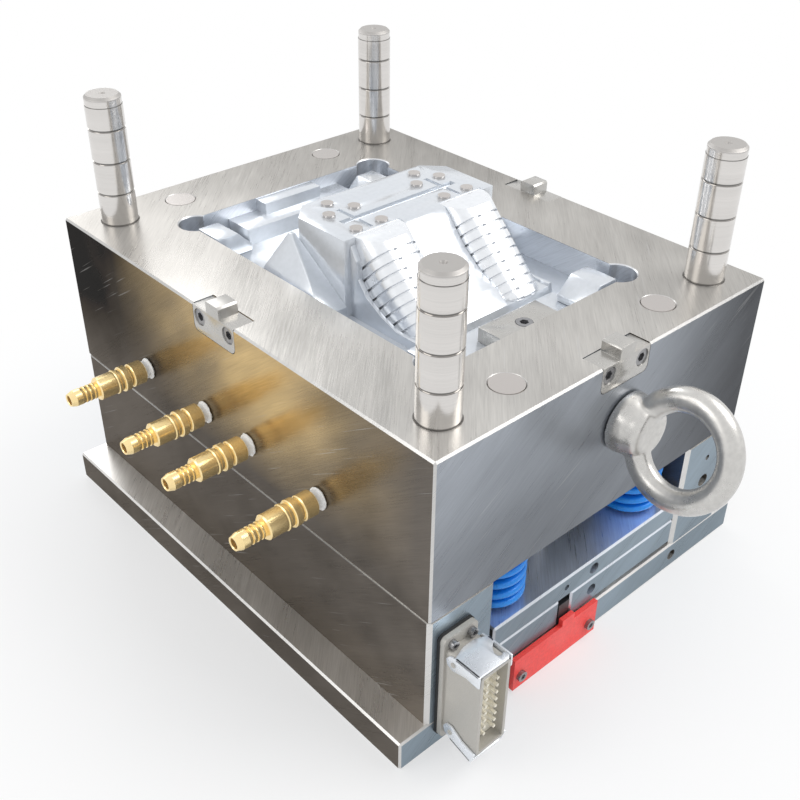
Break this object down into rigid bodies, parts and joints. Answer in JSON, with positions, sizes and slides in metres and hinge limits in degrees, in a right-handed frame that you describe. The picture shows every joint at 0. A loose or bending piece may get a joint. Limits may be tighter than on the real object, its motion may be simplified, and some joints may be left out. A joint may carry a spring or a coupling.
{
  "type": "injection mould half",
  "caption": "Core half of a two-plate injection mould with guide pillars, ribbed cores, sprung ejector plates, hose couplings, a lifting eye and a connector.",
  "frame": {"origin": "centre of the ejector rod hole in the clamping plate's underside", "axes": "+Z is the opening direction, -Y the face with the lifting eye, -X the face with the hose couplings"},
  "size_m": [0.4476, 0.5455, 0.368],
  "materials": {
    "ground_steel": "ground",
    "milled_core_steel": "finely milled",
    "hardened_steel": "ground and polished",
    "black_oxide_screws": "black oxide",
    "brass": "turned",
    "bronze": "turned",
    "white_thread_tape": "matte",
    "galvanised_steel": "galvanised",
    "blue_spring_steel": "painted",
    "cast_grey_aluminium": "cast",
    "black_rubber": "matte",
    "cream_plastic": "satin",
    "red_painted_steel": "painted",
    "black_plastic": "satin"
  },
  "bodies": {
    "mould_base": {"base_plate": "ground_steel", "spacer_left": "ground_steel", "spacer_right": "ground_steel", "core_plate": "ground_steel", "core_insert": "milled_core_steel", "ribbed_core_left": "milled_core_steel", "ribbed_core_right": "milled_core_steel", "side_cores": "milled_core_steel", "heel_blocks": "milled_core_steel", "stop_block": "milled_core_steel", "stop_block_screw": "black_oxide_screws", "guide_pillar_1": "hardened_steel", "guide_pillar_2": "hardened_steel", "guide_pillar_3": "hardened_steel", "guide_pillar_4": "hardened_steel", "return_springs": "blue_spring_steel", "support_pillars": "ground_steel", "ejector_guide_pins": "hardened_steel", "rest_buttons": "ground_steel", "side_lock_front": "hardened_steel", "side_lock_left": "hardened_steel", "side_lock_right": "hardened_steel", "side_lock_screws": "black_oxide_screws", "coupler_nipples": "brass", "sealing_tapes": "white_thread_tape", "coupler_body_1": "brass", "coupler_body_2": "brass", "coupler_body_3": "brass", "coupler_body_4": "brass", "eye_bolt": "galvanised_steel", "connector_gasket": "black_rubber", "connector_housing": "cast_grey_aluminium", "contact_block": "cream_plastic", "contact_pins": "brass", "flange_screws": "black_oxide_screws", "switch_cover": "red_painted_steel", "switch_cover_screws": "black_oxide_screws", "limit_switch": "black_plastic", "switch_plunger": "black_plastic", "base_bolts": "black_oxide_screws", "insert_screws": "black_oxide_screws"},
    "ejector_set": {"ejector_plate": "ground_steel", "retainer_plate": "ground_steel", "return_pin_1": "hardened_steel", "return_pin_2": "hardened_steel", "return_pin_3": "hardened_steel", "return_pin_4": "hardened_steel", "ejector_pins": "hardened_steel", "ejector_guide_bushes": "bronze", "ejector_plate_screws": "black_oxide_screws"},
    "lever_top": {"lever_top": "galvanised_steel"},
    "lever_bottom": {"lever_bottom": "galvanised_steel"},
    "sleeve_1": {"coupler_sleeve_1": "brass"},
    "sleeve_2": {"coupler_sleeve_2": "brass"},
    "sleeve_3": {"coupler_sleeve_3": "brass"},
    "sleeve_4": {"coupler_sleeve_4": "brass"}
  },
  "joints": [
    {"name": "ejector_slide", "type": "slide", "parent": "mould_base", "child": "ejector_set", "axis": [0, 0, 1], "range_m": [0, 0.04], "stiffness_N_per_m": 80000, "springref_m": -0.01, "deforming": ["return_springs"]},
    {"name": "lever_top_hinge", "type": "hinge", "parent": "mould_base", "child": "lever_top", "pos_m": [-0.151, -0.2405, 0.097], "axis": [-1, 0, 0], "range_deg": [0, 50]},
    {"name": "lever_bottom_hinge", "type": "hinge", "parent": "mould_base", "child": "lever_bottom", "pos_m": [-0.151, -0.2405, 0.029], "axis": [1, 0, 0], "range_deg": [-16, 34]},
    {"name": "sleeve_1_slide", "type": "slide", "parent": "mould_base", "child": "sleeve_1", "axis": [1, 0, 0], "range_m": [0, 0.004], "stiffness_N_per_m": 500, "springref_m": -0.002},
    {"name": "sleeve_2_slide", "type": "slide", "parent": "mould_base", "child": "sleeve_2", "axis": [1, 0, 0], "range_m": [0, 0.004], "stiffness_N_per_m": 500, "springref_m": -0.002},
    {"name": "sleeve_3_slide", "type": "slide", "parent": "mould_base", "child": "sleeve_3", "axis": [1, 0, 0], "range_m": [0, 0.004], "stiffness_N_per_m": 500, "springref_m": -0.002},
    {"name": "sleeve_4_slide", "type": "slide", "parent": "mould_base", "child": "sleeve_4", "axis": [1, 0, 0], "range_m": [0, 0.004], "stiffness_N_per_m": 500, "springref_m": -0.002}
  ]
}
